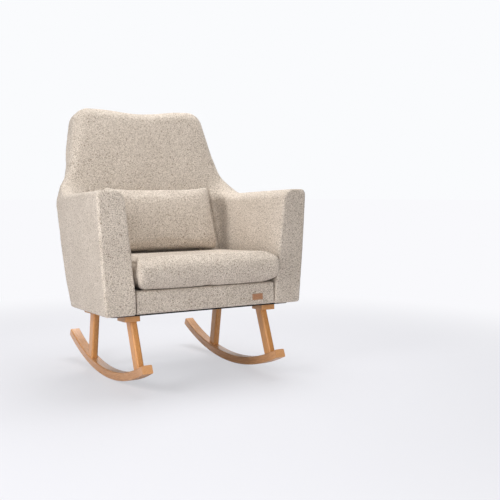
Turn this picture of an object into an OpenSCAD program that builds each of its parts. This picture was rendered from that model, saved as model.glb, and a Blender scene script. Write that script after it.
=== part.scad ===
// Upholstered nursery rocking armchair with a loose seat cushion and a lumbar cushion.
// Frame: +X to the sitter's left, -Y forward, +Z up. Origin on the floor, midway between
// the rockers, at the point where they touch the floor. Millimetres.

/* [Rockers and legs] */
// Radius of the rockers' underside
rocker_radius = 845; // [820:5:870]
// Width of a rocker
rocker_width = 35; // [34:1:36]
// Thickness of a rocker
rocker_thickness = 28; // [27:0.5:28.5]
// Distance of each rocker's centre line from the middle of the chair
rocker_x = 241; // [240:1:242]
// Arc of the rocker in front of the contact point, degrees
rocker_front = 24.5; // [23:0.5:26]
// Arc of the rocker behind the contact point, degrees
rocker_rear = 25.5; // [24:0.5:27]
// Width of a leg, side to side
leg_width = 23; // [21:1:25]
// Depth of a leg, front to back
leg_depth = 40; // [36:1:42]

/* [Body] */
// Height of the body's front lower edge above the floor
base_z = 250; // [248:1:252]
// Backward tilt of the seat platform, degrees
seat_tilt = 3; // [2.8:0.1:3.2]
// Half width of the body at the arm tops
arm_x = 371; // [369:1:373]
// Height of the arm tops at the front
arm_z = 640; // [632:2:648]
// Height of the raised shoulders of the backrest
back_z = 931; // [925:1:935]
// Depth of the dip in the middle of the backrest's top edge
back_dip = 14; // [8:1:18]
// Thickness of the backrest
back_thickness = 98; // [96:1:99]

/* [Soft parts] */
// Thickness of the cover fabric with its wadding
cover_thickness = 3; // [2.5:0.5:3.5]
// Half width of the seat cushion
cushion_x = 256; // [248:1:257]
// Thickness of the seat cushion
cushion_thickness = 102; // [96:1:106]
// Half width of the lumbar cushion
lumbar_x = 208; // [190:2:212]
// Height of the lumbar cushion
lumbar_height = 236; // [220:2:240]

/* [Seat suspension] */
// Number of zigzag springs under the seat
spring_count = 5; // [3:1:5]
// Radius of the spring wire
wire_radius = 1.6; // [1.4:0.1:1.8]

/* [Hidden] */
$fn = 48;

fabric = [0.76, 0.71, 0.66];
timber = [0.80, 0.58, 0.38];
pine = [0.86, 0.74, 0.55];
steel = [0.62, 0.63, 0.65];
black = [0.08, 0.08, 0.08];
foam = [0.93, 0.90, 0.80];
filling_white = [0.95, 0.95, 0.95];
label_brown = [0.62, 0.45, 0.33];

front_y = -295;          // plane of the arms' front faces
gap = 0.2;               // glue line between neighbouring timbers
hole_clear = 0.1;        // clearance of a hole around its bolt or screw
foam_clear = 0.4;        // space between a cover and its foam
board_thickness = 5;     // layer under the platform, taken up by the dust cover
block_thickness = 18.5;
block_bottom = -board_thickness - block_thickness;  // in the base frame

// ---- shared helpers ----
// Frame of the tilted seat platform: y runs backward, z upward.
module base_frame() { translate([0, front_y, base_z]) rotate([-seat_tilt, 0, 0]) children(); }

module box(low, high) { translate(low) cube(high - low); }
module base_box(low, high) { base_frame() box(low, high); }

// Pieces are drawn on the sitter's left; this puts one on the right.
module to_right() { mirror([1, 0, 0]) children(); }
module both_sides() {
  to_right() children();
  children();
}

// A cylinder along +Z between two heights.
module rod(radius, from, to) { translate([0, 0, from]) cylinder(r = radius, h = to - from); }

// Balls turned off the axes, so that their hull has no coplanar facets.
module balls(centres, radius, facets) {
  for (centre = centres) translate(centre) rotate([3, 5, 7]) sphere(radius, $fn = facets);
}

module rounded_section(width, depth, radius) {
  union() {
    square([width - 2 * radius, depth], center = true);
    square([width, depth - 2 * radius], center = true);
    for (i = [-1, 1], j = [-1, 1])
      translate([i * (width / 2 - radius), j * (depth / 2 - radius)]) circle(radius);
  }
}

// ---- legs and rockers ----
// Tables indexed by leg: front, then rear.
FRONT = 0;
REAR = 1;
foot_x = [rocker_x, rocker_x + 4];
foot_y = [-278, 142];
leg_top_y = [-217, 112];
leg_top_z = [222.2, 205];

function rocker_top_z(y) = rocker_radius - sqrt(pow(rocker_radius - rocker_thickness, 2) - y * y);
function leg_run(i) = foot_y[i] - leg_top_y[i];
function leg_rise(i) = leg_top_z[i] - rocker_top_z(foot_y[i]);
function leg_length(i) = norm([leg_run(i), leg_rise(i)]);

// Puts +Z along a leg, with the origin at the leg's foot on the rocker.
module leg_frame(i) {
  translate([foot_x[i], foot_y[i], rocker_top_z(foot_y[i])])
    rotate([atan2(leg_run(i), leg_rise(i)), 0, 0]) children();
}

// Hole up through the rocker into the leg, with a counterbore from below.
module screw_hole(i) {
  start = -rocker_thickness - 8;
  leg_frame(i) {
    rod(3 + hole_clear, start, 45 + hole_clear);
    rod(6 + 2 * hole_clear, start, -rocker_thickness + 8 + hole_clear);
  }
}

module rocker() {
  color(timber) difference() {
    translate([rocker_x, 0, rocker_radius]) rotate([0, 90, 0]) rotate([0, 0, -rocker_front])
      rotate_extrude(angle = rocker_front + rocker_rear, $fn = 180)
        translate([rocker_radius - rocker_thickness / 2, 0])
          rounded_section(rocker_thickness, rocker_width, 4);
    for (i = [FRONT, REAR]) screw_hole(i);
  }
}

// The foot is cut to the rocker's curve, the top to the underside of the leg block.
module leg(i) {
  color(timber) difference() {
    intersection() {
      leg_frame(i) translate([0, 0, -30]) linear_extrude(260)
        rounded_section(leg_width, leg_depth, 6);
      translate([0, 0, rocker_radius]) rotate([0, 90, 0])
        cylinder(r = rocker_radius - rocker_thickness - 0.1, h = 900, center = true, $fn = 180);
    }
    base_box([0, -200, block_bottom - gap], [400, 700, 300]);
    leg_bolt_hole(i);
    screw_hole(i);
  }
}

// The leg bolt runs down the leg; its head sits in a counterbore in the block's top.
module leg_bolt_hole(i, clear = hole_clear) {
  top = leg_length(i);
  leg_frame(i) {
    rod(4 + clear, top - 50 - clear, top + 50);
    rod(7.5 + 2 * clear, top + 10.8, top + 70.8);
  }
}

module leg_bolts() {
  color(steel) both_sides() for (i = [FRONT, REAR]) leg_frame(i) {
    top = leg_length(i);
    rod(4, top - 50, top + 12);
    rod(7, top + 11, top + 15.2, $fn = 6);
  }
}

module rocker_screws() {
  color(steel) both_sides() for (i = [FRONT, REAR]) leg_frame(i) {
    rod(3, -rocker_thickness + 5, 44);
    rod(6, -rocker_thickness + 3.8, -rocker_thickness + 8);
  }
}

// ---- leg blocks, bolted up into the platform ----
block_y = [78, 400];     // centres of the front and rear blocks, in the base frame
block_bolt_pitch = 53;
block_bolt_x = 241;

module block_bolt_axes(i) {
  base_frame() for (side = [-1, 1])
    translate([block_bolt_x, block_y[i] + side * block_bolt_pitch / 2, 0]) children();
}

module block_bolt_hole(i) {
  block_bolt_axes(i) {
    rod(3 + hole_clear, -60, 50 + hole_clear);
    rod(6.5 + hole_clear, -60, block_bottom + 6);
  }
}

module leg_block(i) {
  color(timber) difference() {
    base_frame() translate([250, block_y[i], block_bottom])
      linear_extrude(block_thickness - gap) rounded_section(52, 72, 5);
    leg_bolt_hole(i);
    block_bolt_hole(i);
  }
}

module block_bolts() {
  color(steel) both_sides() for (i = [FRONT, REAR]) block_bolt_axes(i) {
    rod(3, block_bottom + 2, 48);
    rod(6, block_bottom + 1, block_bottom + 6);
  }
}

// ---- seat platform, in the base frame ----
rail_bottom = 8;
rail_top = 60;
rail_thickness = 25;
platform_front = 16;     // outer faces of the front and rear rails
platform_rear = 444;
inner_front = platform_front + rail_thickness;
inner_rear = platform_rear - rail_thickness;
side_rail_x = 256;       // inner face of a side rail
bracket_x = 244;
bracket_z = 37;

// Front or rear rail; y is its front face.
module base_rail(y) {
  color(pine) difference() {
    base_box([-side_rail_x + gap, y, rail_bottom],
             [side_rail_x - gap, y + rail_thickness, rail_top]);
    both_sides() {
      block_bolt_hole(REAR);
      bracket_screw_hole(1.5);
    }
  }
}

module base_side_rail() {
  color(pine) difference() {
    base_box([side_rail_x, platform_front, rail_bottom],
             [side_rail_x + rail_thickness, platform_rear, rail_top]);
    arm_bolt_holes();
  }
}

module base_corner_blocks() {
  spans = [[inner_front + gap, 120], [359, inner_rear - gap]];
  color(timber) both_sides() for (i = [FRONT, REAR]) difference() {
    base_box([side_rail_x - 50, spans[i][0], rail_bottom],
             [side_rail_x - gap, spans[i][1], rail_top - 2]);
    block_bolt_hole(i);
  }
}

module base_centre_slat() {
  color(pine) base_box([-22, inner_front + gap, rail_bottom], [22, inner_rear - gap, 24]);
}

module dust_cover() {
  // x, y corners
  outline = [[-334, 22], [-322, 10], [322, 10], [334, 22],
             [318, 430], [290, 462], [-290, 462], [-318, 430]];
  color(black) difference() {
    base_frame() translate([0, 0, -board_thickness + gap])
      linear_extrude(board_thickness - 2 * gap) polygon(outline);
    both_sides() for (i = [FRONT, REAR]) {
      block_bolt_hole(i);
      leg_bolt_hole(i, clear = 1);
    }
  }
}

module bracket_screw_hole(radius) {
  base_frame() translate([bracket_x, 434, bracket_z]) rotate([-90, 0, 0])
    cylinder(r = radius, h = 20);
}

// Plates on the rear face of the rear rail.
module back_brackets() {
  color(steel) both_sides() difference() {
    base_box([bracket_x - 12, platform_rear + 0.4, bracket_z - 21],
             [bracket_x + 12, platform_rear + 2.4, bracket_z + 21]);
    bracket_screw_hole(2.6);
  }
}

// ---- zigzag springs and deck ----
spring_bars = 12;        // cross bars in one spring
bar_pitch = 33.5;
bar_length = 24;
spring_spacing = 98;
spring_front = 46;       // y of the first bar
spring_z = 63.6;
spring_length = (spring_bars - 1) * bar_pitch;

module spring_places(z) {
  base_frame() for (i = [0 : spring_count - 1])
    translate([(i - (spring_count - 1) / 2) * spring_spacing, spring_front, z]) children();
}

module spring() {
  for (k = [0 : spring_bars - 1]) translate([0, k * bar_pitch, 0]) rotate([0, 90, 0])
    cylinder(r = wire_radius, h = bar_length, center = true, $fn = 16);
  // half-circle bends, on alternate sides
  for (k = [0 : spring_bars - 2]) {
    side = k % 2 == 0 ? 1 : -1;
    translate([side * bar_length / 2, (k + 0.5) * bar_pitch, 0]) rotate([0, 0, -90 * side])
      rotate_extrude(angle = 180, $fn = 32)
        translate([bar_pitch / 2, 0]) circle(wire_radius, $fn = 16);
  }
}

module seat_springs() { color(steel) spring_places(spring_z) spring(); }

// Clip hooked over a spring's front bar, with a tail plate towards the front.
module spring_clip() {
  difference() {
    box([-7, -24, 0], [7, 6, 6.6]);
    box([-8, -10, 1.6], [8, 4.2, 5.2]);
    box([-8, -25, 1.6], [8, -11, 8]);
  }
}

module spring_clips() {
  color(steel) spring_places(rail_top + gap) {
    spring_clip();
    translate([0, spring_length, 0]) mirror([0, 1, 0]) spring_clip();
  }
}

module deck_pad() { color(foam) base_box([-250, 18, 67.2], [250, 412, 73.2]); }
module deck_cloth() { color(fabric * 0.75) base_box([-250, 17, 73.6], [250, 412, 75.2]); }

// ---- arm timbers ----
arm_length = 300;
arm_height = 316;
arm_thickness = 42;
arm_post_depth = 32;
arm_top_rail_height = 26;
arm_bottom_rail_height = 45;
arm_bolt_y = [130, 250]; // in the base frame
arm_bolt_z = 32;

// Frame of an arm's timber box: x outward, y backward, z up, leaning outward.
module arm_frame() { translate([284, -268, 265]) rotate([-seat_tilt, 2.5, 0]) children(); }

// y is the post's front face.
module arm_post(y) {
  color(pine) arm_frame() box([0, y, 0], [arm_thickness, y + arm_post_depth, arm_height]);
}

// A timber filling the length between the two posts.
module between_arm_posts(x0, x1, z0, z1) {
  inset = arm_post_depth + gap;
  arm_frame() box([x0, inset, z0], [x1, arm_length - inset, z1]);
}

module arm_top_rail() {
  color(pine) between_arm_posts(0, arm_thickness, arm_height - arm_top_rail_height, arm_height);
}

module arm_bottom_rail() {
  color(pine) difference() {
    between_arm_posts(0, arm_thickness, 0, arm_bottom_rail_height);
    arm_bolt_holes();
  }
}

// The outer panel and the thinner inner one.
module arm_side_panel() {
  low = arm_bottom_rail_height + gap;
  high = arm_height - arm_top_rail_height - gap;
  color(pine * 0.9) {
    between_arm_posts(arm_thickness - 9, arm_thickness, low, high);
    between_arm_posts(0, 4, low, high);
  }
}

// Puts +Z along each arm bolt, outward, measured from the middle of the chair.
module arm_bolt_axes() {
  base_frame() for (y = arm_bolt_y)
    translate([0, y, arm_bolt_z]) rotate([0, 90, 0]) children();
}

module arm_bolt_holes() { arm_bolt_axes() rod(4 + hole_clear, 248, 320 + hole_clear); }

module arm_bolts() {
  color(steel) both_sides() arm_bolt_axes() {
    rod(4, 251, 318);
    rod(7.5, 246.5, 251.5, $fn = 6);
    // washer
    difference() {
      rod(10, 253.8, 255.8);
      rod(4, 252.8, 256.8);
    }
  }
}

// ---- arm upholstery ----
// Outer form of an arm, drawn in by inset on every side.
module arm_form(inset) {
  radius = 26;
  front = front_y + radius;
  rear = 190;
  front_low = base_z + radius;
  front_high = arm_z - radius;
  rear_low = base_z - 22 + radius;
  rear_high = arm_z - 30 - radius;
  hull() balls([
    [273, front, front_low], [347 - radius, front, front_low],
    [300 + radius / 2, front, front_high], [arm_x - radius, front, front_high],
    [273, rear, rear_low], [327 - radius, rear, rear_low],
    [285 + radius, rear, rear_high], [351 - radius, rear, rear_high]
  ], radius - inset, 28);
}

// Shoulder that carries the arm top up into the side of the backrest.
module shoulder_form(inset) {
  hull() balls([
    [330, 112, 600], [328, 200, 600], [290, 212, 676], [278, 212, 660], [290, 112, 596]
  ], 16 - inset, 24);
}

module arm_and_shoulder(inset) {
  union() {
    arm_form(inset);
    shoulder_form(inset);
  }
}

// Everything behind the backrest's front plane.
module behind_back(clear) {
  back_frame() box([-500, -back_thickness / 2 - clear, -500], [500, 500, 800]);
}

// Space the seat platform takes up: its full width, and a narrower part running forward.
module base_envelope(clear) {
  base_box([-282 - clear, 15.6 - clear, -60], [282 + clear, 700, 77 + clear]);
  base_box([-251.4 - clear, -60, -60], [251.4 + clear, 700, 77 + clear]);
}

module arm_cover() {
  color(fabric) difference() {
    arm_and_shoulder(0);
    arm_and_shoulder(cover_thickness);
    behind_back(0.6);
    base_envelope(0.3);
  }
}

module arm_foam() {
  color(foam) difference() {
    arm_and_shoulder(cover_thickness + foam_clear);
    behind_back(4);
    base_envelope(0.6);
    // room for the arm timbers, the side rail and the space below the platform
    arm_frame() box([-0.5, -0.5, -60],
                    [arm_thickness + 0.5, arm_length + 0.5, arm_height + 0.5]);
    base_box([200, platform_front - 1, -60], [290, platform_rear + 0.4, rail_top + 1]);
    base_box([-400, -100, -50], [400, 600, 4]);
  }
}

// ---- backrest form ----
back_lean = 14.28;       // lean of the backrest's middle plane
back_y0 = 168;           // where that plane stands at height back_z0
back_z0 = 410;

// Frame of the backrest: y across its thickness, z up along its slope.
module back_frame() { translate([0, back_y0, back_z0]) rotate([-back_lean, 0, 0]) children(); }

// An outline in x and slope distance, filled between two depths of the backrest.
module back_slab(front, rear) {
  back_frame() translate([0, rear, 0]) rotate([90, 0, 0]) linear_extrude(rear - front) children();
}

// Sides of the backrest: height above the floor, half width.
back_sides = [
  [235, 312], [330, 328], [430, 336], [520, 337], [580, 335],
  [622, 327], [650, 318], [680, 307], [714, 297], [750, 289],
  [790, 281], [830, 273], [862, 266], [890, 257], [908, 245]
];
// x stations along the top edge, from the corner to the middle
top_stations = [226, 205, 185, 150, 115, 75, 38, 0];
dip_half_width = 185;
corner_x = 195;          // where the top edge starts to fall towards the corner
corner_run = 43;
corner_drop = 13;        // fall at corner_run beyond corner_x

// Distance up the slope of a height above the floor.
function slope_at(z) = (z - back_z0) / cos(back_lean);
function top_edge_z(x) = back_z
  - back_dip * pow(cos(min(90, abs(x) * 90 / dip_half_width)), 2)
  - (abs(x) > corner_x ? pow((abs(x) - corner_x) / corner_run, 2) * corner_drop : 0);

// Left half of the outline, from the bottom corner up to the middle of the top.
function half_outline(inset) = concat(
  [for (p = back_sides) [p[1] - inset,
    min(slope_at(max(p[0], back_sides[0][0] + inset)), slope_at(924) - 8 - inset)]],
  [for (x = top_stations) [x - (x > 190 ? inset * 0.6 : 0), slope_at(top_edge_z(x)) - inset]]);

module back_outline(inset) {
  half = half_outline(inset);
  polygon(concat(half, [for (i = [len(half) - 2 : -1 : 0]) [-half[i][0], half[i][1]]]));
}

// Steps that round the backrest's edges: inset from the faces, inset from the rim.
edge_steps = [[22, 1], [11, 7.5], [4, 16], [0, 27]];

module back_form(inset) {
  for (step = edge_steps) {
    half_depth = back_thickness / 2 - inset - step[0];
    back_slab(-half_depth, half_depth) back_outline(inset + step[1]);
  }
}

// ---- backrest timbers and webbing ----
post_front = -17;        // faces of the posts, across the backrest's thickness
post_rear = 21;
post_foot = -112;        // ends of the posts, along the slope
post_top = 484;
post_width = 42;
function post_inner(z) = 226 - (z - post_foot) * 0.055;
function post_outer(z) = post_inner(z) + post_width;

module back_post() {
  color(pine) back_slab(post_front, post_rear) polygon([
    [post_inner(post_foot), post_foot], [post_outer(post_foot), post_foot],
    [post_outer(post_top), post_top], [post_inner(post_top), post_top]]);
}

// A rail between the posts; top_points run along its top edge from left to right.
module back_rail(inset, low, high, top_points = []) {
  low_x = post_inner(low) - gap;
  high_x = post_inner(high) - gap;
  color(pine) back_slab(post_front + inset, post_rear - inset)
    polygon([[-low_x, low], [low_x, low], [high_x, high], each top_points, [-high_x, high]]);
}

// Its top edge is hollowed in the middle.
module back_top_rail() {
  back_rail(4, post_top - 52, post_top,
            [for (k = [5 : -1 : -5]) [k * 30, post_top - 10 * cos(k * 18)]]);
}

module back_middle_rail() { for (z = [-80, 150]) back_rail(6, z, z + 42); }

module back_webbing() {
  strap_width = 50;
  color(black) {
    for (z = [-15, 60, 215, 290, 365]) {
      half_length = post_outer(z) - 12;
      back_slab(post_front - 2.2, post_front - gap)
        translate([-half_length, z]) square([2 * half_length, strap_width]);
    }
    for (x = [-110, 0, 110]) back_slab(post_front - 4.4, post_front - 2.4)
      translate([x - strap_width / 2, -80]) square([strap_width, 535]);
  }
}

// ---- backrest upholstery and front border ----
// Room in the foam for the timbers and webbing.
module back_cavity() {
  back_slab(post_front - 5, post_rear + 0.6) polygon([
    [-270, post_foot - 1], [270, post_foot - 1], [237, post_top + 1], [-237, post_top + 1]]);
}

module back_cover() {
  color(fabric) difference() {
    back_form(0);
    back_form(cover_thickness);
    base_envelope(0.3);
  }
}

module back_foam() {
  color(foam) difference() {
    back_form(cover_thickness + foam_clear);
    back_cavity();
    base_envelope(0.6);
  }
}

// Upright face between the arms, with a lip turned back over the front rail.
module front_border() {
  color(fabric) {
    base_box([-251, 2, 1], [251, 14, 76]);
    base_box([-251, 14, 61], [251, 16.6, 76]);
  }
}

module label_tab() { color(label_brown) base_box([164, 0.6, 18], [204, 1.8, 39]); }

// ---- seat cushion, in the base frame ----
cushion_front = -42;
cushion_rear = 370;
cushion_bottom = 77.6;
cushion_inner = 2;       // thickness of the loose cushions' covers
filling_inset = 2.4;     // inset of their fillings
seat_zip_z = cushion_bottom + 50;

module cushion_form(inset) {
  nose = cushion_thickness / 2;
  radius = 24;
  rear = cushion_rear - radius;
  low = cushion_bottom + radius;
  high = cushion_bottom + cushion_thickness - radius;
  base_frame() hull() {
    // front roll: inset of its ends, reduction of its radius
    for (roll = [[22, 0], [4, 12]])
      translate([0, cushion_front + nose, cushion_bottom + nose]) rotate([0, 90, 0])
        cylinder(r = nose - roll[1] - inset, h = 2 * (cushion_x - roll[0] - inset),
                 center = true, $fn = 40);
    for (side = [-1, 1]) {
      low_x = side * (cushion_x - 4 - radius);
      high_x = side * (cushion_x - radius);
      balls([[low_x, rear, low], [high_x, rear, high - 6], [low_x, 60, low], [high_x, 60, high]],
            radius - inset, 20);
    }
  }
}

module seat_cushion_cover() {
  color(fabric) difference() {
    cushion_form(0);
    cushion_form(cushion_inner);
    base_box([-182, cushion_rear - 12, seat_zip_z - 7], [182, cushion_rear + 10, seat_zip_z + 7]);
  }
}

module seat_cushion_foam() { color(foam) cushion_form(filling_inset); }

module seat_zip() {
  color(fabric * 0.6) base_box([-180, cushion_rear - 1.9, seat_zip_z - 6],
                               [180, cushion_rear - 0.3, seat_zip_z + 6]);
}

// Slider body and its hanging pull.
module seat_zip_slider() {
  color(steel) {
    base_box([166, cushion_rear, seat_zip_z - 5], [178, cushion_rear + 3, seat_zip_z + 5]);
    base_box([168, cushion_rear + 0.6, seat_zip_z - 20],
             [176, cushion_rear + 2.2, seat_zip_z - 5]);
  }
}

// ---- lumbar cushion ----
lumbar_lean = 16;
lumbar_bottom = -lumbar_height / 2;

// Frame at the cushion's centre: y through its thickness, z up along its lean.
module lumbar_frame() { translate([0, 87, 530]) rotate([-lumbar_lean, 0, 0]) children(); }

function four_corners(x, z) = [for (i = [-1, 1], j = [-1, 1]) [i * x, 0, j * z]];

module lumbar_form(inset) {
  radius = 13;
  lumbar_frame() hull() {
    balls(four_corners(lumbar_x - radius, lumbar_height / 2 - radius), radius - inset, 16);
    balls(four_corners(118, 42), 46 - inset, 24);
  }
}

module lumbar_cover() {
  color(fabric) difference() {
    lumbar_form(0);
    lumbar_form(cushion_inner);
    lumbar_frame() box([-152, -6, lumbar_bottom - 10], [152, 6, lumbar_bottom + 9]);
  }
}

module lumbar_filling() { color(filling_white) lumbar_form(filling_inset); }

module lumbar_zip() {
  color(fabric * 0.6) lumbar_frame()
    box([-150, -5, lumbar_bottom + 0.4], [150, 5, lumbar_bottom + 1.8]);
}

// Slider body and its pull, which points to the rear.
module lumbar_zip_slider() {
  color(steel) lumbar_frame() {
    box([136, -4, lumbar_bottom - 2.4], [148, 4, lumbar_bottom + 0.1]);
    box([138, 4, lumbar_bottom - 2], [146, 18, lumbar_bottom - 0.6]);
  }
}

rocker();  // rocker_left
to_right() rocker();  // rocker_right
leg(FRONT);  // front_leg_left
to_right() leg(FRONT);  // front_leg_right
leg(REAR);  // rear_leg_left
to_right() leg(REAR);  // rear_leg_right
leg_block(FRONT);  // front_leg_block_left
to_right() leg_block(FRONT);  // front_leg_block_right
leg_block(REAR);  // rear_leg_block_left
to_right() leg_block(REAR);  // rear_leg_block_right
leg_bolts();
block_bolts();
rocker_screws();
base_rail(platform_front);  // base_front_rail
base_rail(inner_rear);  // base_rear_rail
base_side_rail();  // base_side_rail_left
to_right() base_side_rail();  // base_side_rail_right
base_corner_blocks();
base_centre_slat();
dust_cover();
seat_springs();
spring_clips();
deck_pad();
deck_cloth();
arm_post(0);  // arm_front_post_left
to_right() arm_post(0);  // arm_front_post_right
arm_post(arm_length - arm_post_depth);  // arm_rear_post_left
to_right() arm_post(arm_length - arm_post_depth);  // arm_rear_post_right
arm_top_rail();  // arm_top_rail_left
to_right() arm_top_rail();  // arm_top_rail_right
arm_bottom_rail();  // arm_bottom_rail_left
to_right() arm_bottom_rail();  // arm_bottom_rail_right
arm_side_panel();  // arm_side_panel_left
to_right() arm_side_panel();  // arm_side_panel_right
arm_bolts();
back_post();  // back_post_left
to_right() back_post();  // back_post_right
back_top_rail();
back_middle_rail();
back_brackets();
back_webbing();
arm_foam();  // arm_foam_left
to_right() arm_foam();  // arm_foam_right
back_foam();
arm_cover();  // arm_cover_left
to_right() arm_cover();  // arm_cover_right
back_cover();
front_border();
label_tab();
seat_cushion_foam();
seat_cushion_cover();
seat_zip();
seat_zip_slider();
lumbar_filling();
lumbar_cover();
lumbar_zip();
lumbar_zip_slider();
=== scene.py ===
# A boucle rocking armchair on timber legs and rockers, with a loose seat cushion and a lumbar
# cushion. It stands on z = 0, faces -Y and is centred on x = 0, with the sitter's left at +X.
# Shapes are worked out in millimetres and turned into metres by MM.
import math
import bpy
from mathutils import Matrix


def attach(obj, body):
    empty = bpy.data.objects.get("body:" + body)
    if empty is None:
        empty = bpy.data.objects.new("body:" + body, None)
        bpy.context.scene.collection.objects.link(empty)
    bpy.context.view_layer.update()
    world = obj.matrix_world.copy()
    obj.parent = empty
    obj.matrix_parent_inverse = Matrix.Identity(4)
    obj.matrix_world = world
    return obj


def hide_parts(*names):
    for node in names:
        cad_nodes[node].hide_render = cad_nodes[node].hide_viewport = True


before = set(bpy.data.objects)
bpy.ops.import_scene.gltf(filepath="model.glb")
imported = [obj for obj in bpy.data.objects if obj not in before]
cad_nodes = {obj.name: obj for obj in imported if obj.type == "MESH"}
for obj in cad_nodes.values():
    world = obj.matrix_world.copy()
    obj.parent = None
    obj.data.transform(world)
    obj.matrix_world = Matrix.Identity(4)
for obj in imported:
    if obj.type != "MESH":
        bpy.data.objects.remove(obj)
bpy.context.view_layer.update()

from fnmatch import fnmatchcase

import bpy
import numpy as np
from mathutils import Matrix, Vector

MM = 0.001
scene = bpy.context.scene

# ---------------------------------------------------------------- driving dimensions (mm)
LEAN = math.radians(14.28)              # backrest, rearwards from upright
PIVOT_Y, PIVOT_Z = 168.0, 410.0         # origin of the backrest's frame
TILT = math.radians(3.0)                # base, down towards the rear
FRONT_Y, BASE_Z = -295.0, 250.0         # origin of the base's frame: front lower edge
COS_LEAN, SIN_LEAN = math.cos(LEAN), math.sin(LEAN)
COS_TILT, SIN_TILT = math.cos(TILT), math.sin(TILT)

# Backrest: height, half width
BACK_Z, BACK_HALF_WIDTH = np.array([
    (235, 313), (330, 328), (430, 336), (520, 337), (580, 335), (622, 327), (650, 319),
    (680, 308), (714, 298), (750, 289.5), (789, 281), (830, 273), (862, 266), (935, 250)]).T
BACK_BOTTOM_Z = 235
CREST_Z = 931
CREST_DIP, CREST_DIP_REACH = 14, 185    # depth at the centre, and half width of the dip
BACK_FRONT, BACK_REAR = 46.5, 48.0      # faces, measured from the backrest's middle plane

# Arms
ARM_OUTER_X, ARM_INNER_X = 354, 251.6   # faces at the front lower corner
ARM_TOP_Z = 640
# Rear end of the arm: height, distance behind the backrest's middle plane
ARM_REAR_Z, ARM_REAR = np.array([
    (250, 12), (306, 20), (376, 19), (446, 15), (516, 5), (558, -8), (600, -21), (640, -30)]).T
# Rear corner of the wing: height, reach along its slanting normal
WING_Z, WING_REACH = np.array([
    (500, 432), (560, 416), (586, 408), (600, 404), (614, 400), (628, 397),
    (643, 394), (657, 391.5), (685, 388.5), (728, 387), (800, 402)]).T
NO_LIMIT = 999.0
COVER_GAP = 0.12                        # from the arm/back dividing line to each cover

# Seat cushion, in the base's frame
CUSHION_FRONT, CUSHION_REAR = -42.0, 368.0
CUSHION_LOW, CUSHION_THICK = 78.0, 102.0
CUSHION_HALF_WIDTH = 258.0
CUSHION_MID = CUSHION_LOW + CUSHION_THICK / 2

# Lumbar cushion
PILLOW_CENTRE = np.array([0.0, 86.0, 526.0])
PILLOW_LEAN = math.radians(16.0)
PILLOW_HALF_WIDTH, PILLOW_HALF_HEIGHT = 209.0, 126.0
PILLOW_HALF_THICK = 44.0
PILLOW_LOW_RADIUS, PILLOW_TOP_RADIUS = 36.0, 15.0
ZIP_CENTRE = np.array([0.0, 87.0, 530.0])   # origin for the zip's channel

# Dust cover corners in the base's frame, (x, back): as they are, and where they are drawn in to
DUST_OUT = [(-334, 22), (-322, 10), (322, 10), (334, 22),
            (318, 430), (290, 462), (-290, 462), (-318, 430)]
DUST_IN = [(-322, 38), (-312, 28), (312, 28), (322, 38),
           (308, 408), (278, 440), (-278, 440), (-308, 408)]

# Fabric tab on the front border
TAB_X, TAB_UP = 184, 28.5
TAB_WIDTH, TAB_HEIGHT, TAB_THICK, TAB_RADIUS = 40, 21, 1.4, 1.6
STITCH_HALF_WIDTH, STITCH_HALF_HEIGHT = 17.6, 8.2


# ---------------------------------------------------------------- shape helpers
def smooth(x):
    x = np.clip(x, 0.0, 1.0)
    return x * x * (3 - 2 * x)


def rise(value, start, length):
    """Eases from 0 at the start to 1 a length further on."""
    return smooth((value - start) / length)


def fall(value, end, length):
    """Eases from 1 a length before the end to 0 at the end."""
    return smooth((end - value) / length)


def bell(distance, width):
    return np.exp(-(distance / width) ** 2)


def round_max(a, b, radius):
    """Intersection of two solids with a rounded outer edge."""
    outside = np.sqrt(np.maximum(a + radius, 0) ** 2 + np.maximum(b + radius, 0) ** 2)
    return np.minimum(-radius, np.maximum(a, b)) + outside


def soft_min(a, b, reach):
    """Union of two solids with a soft inner corner."""
    blend = np.maximum(reach - np.abs(a - b), 0) / reach
    return np.minimum(a, b) - blend * blend * reach * 0.25


def to_back(y, z):
    """Distance behind the backrest's middle plane, and distance up along it."""
    dy, dz = y - PIVOT_Y, z - PIVOT_Z
    return dy * COS_LEAN - dz * SIN_LEAN, dy * SIN_LEAN + dz * COS_LEAN


def to_base(y, z):
    """Distance back along the tilted base, and distance up from it."""
    dy, dz = y - FRONT_Y, z - BASE_Z
    return dy * COS_TILT - dz * SIN_TILT, dy * SIN_TILT + dz * COS_TILT


def from_base(x, back, up):
    return np.stack([x, FRONT_Y + back * COS_TILT + up * SIN_TILT,
                     BASE_Z - back * SIN_TILT + up * COS_TILT], -1)


def value_and_slope(field, points, probe=0.6):
    """The field and its gradient at the points."""
    slope = []
    for offset in np.eye(3) * probe:
        slope.append(field(*(points + offset).T) - field(*(points - offset).T))
    return field(*points.T), np.stack(slope, -1) / (2 * probe)


def newton_step(value, slope, floor=0.1):
    return slope * (value / np.maximum((slope * slope).sum(-1), floor))[:, None]


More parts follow.
